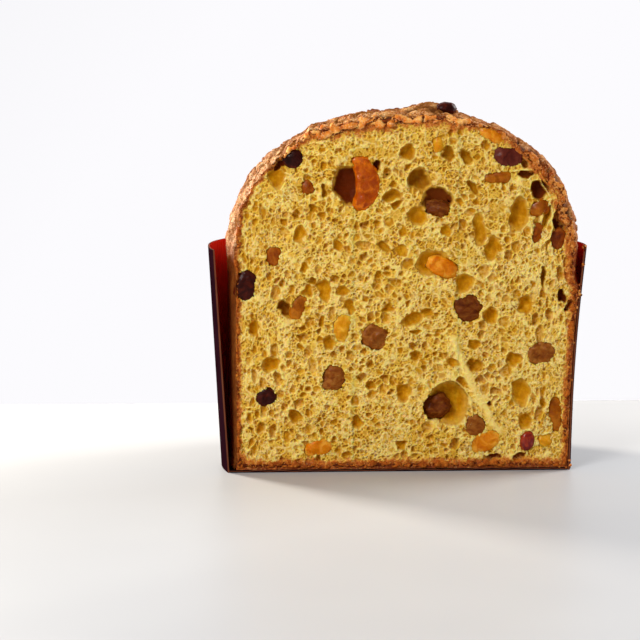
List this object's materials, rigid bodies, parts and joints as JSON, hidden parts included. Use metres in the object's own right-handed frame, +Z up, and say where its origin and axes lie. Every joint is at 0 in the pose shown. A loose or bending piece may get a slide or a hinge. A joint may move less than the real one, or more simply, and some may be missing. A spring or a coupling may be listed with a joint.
{
  "type": "panettone",
  "caption": "Tall domed fruit bread with its front third sliced away, showing crumb, fruit and chestnut pieces, standing in its cut paper baking case.",
  "frame": {"origin": "centre of the paper case's round base, on its underside, where the part rests", "axes": "+Z up, the flat cut face looks along -Y, +X to the right as one faces the cut"},
  "size_m": [0.1835, 0.1151, 0.1774],
  "materials": {
    "bread": "matte",
    "paper": "matte",
    "raisin": "gloss",
    "sultana": "gloss",
    "peel": "gloss",
    "chestnut": "satin",
    "cherry": "gloss"
  },
  "bodies": {
    "root": {"bread": "bread", "case_base": "paper", "case_wall": "paper", "cherry_low": "cherry", "chestnut_bubble": "chestnut", "chestnut_left": "chestnut", "chestnut_low": "chestnut", "chestnut_low_left": "chestnut", "chestnut_mid": "chestnut", "chestnut_right": "chestnut", "chestnut_top": "chestnut", "citron_right": "peel", "peel_big": "peel", "peel_gold": "peel", "peel_low": "peel", "peel_low_left": "peel", "peel_mid": "peel", "peel_right": "peel", "peel_sliver": "peel", "peel_small_top": "peel", "peel_top_right": "peel", "peel_upper_right": "peel", "peel_wedge": "peel", "raisin_left_low": "raisin", "raisin_left_top": "raisin", "raisin_low_left": "raisin", "raisin_on_top": "raisin", "raisin_right": "raisin", "raisin_right_top": "raisin", "sultana_left": "sultana", "sultana_right": "sultana", "sultana_upper_left": "sultana"}
  },
  "joints": []
}
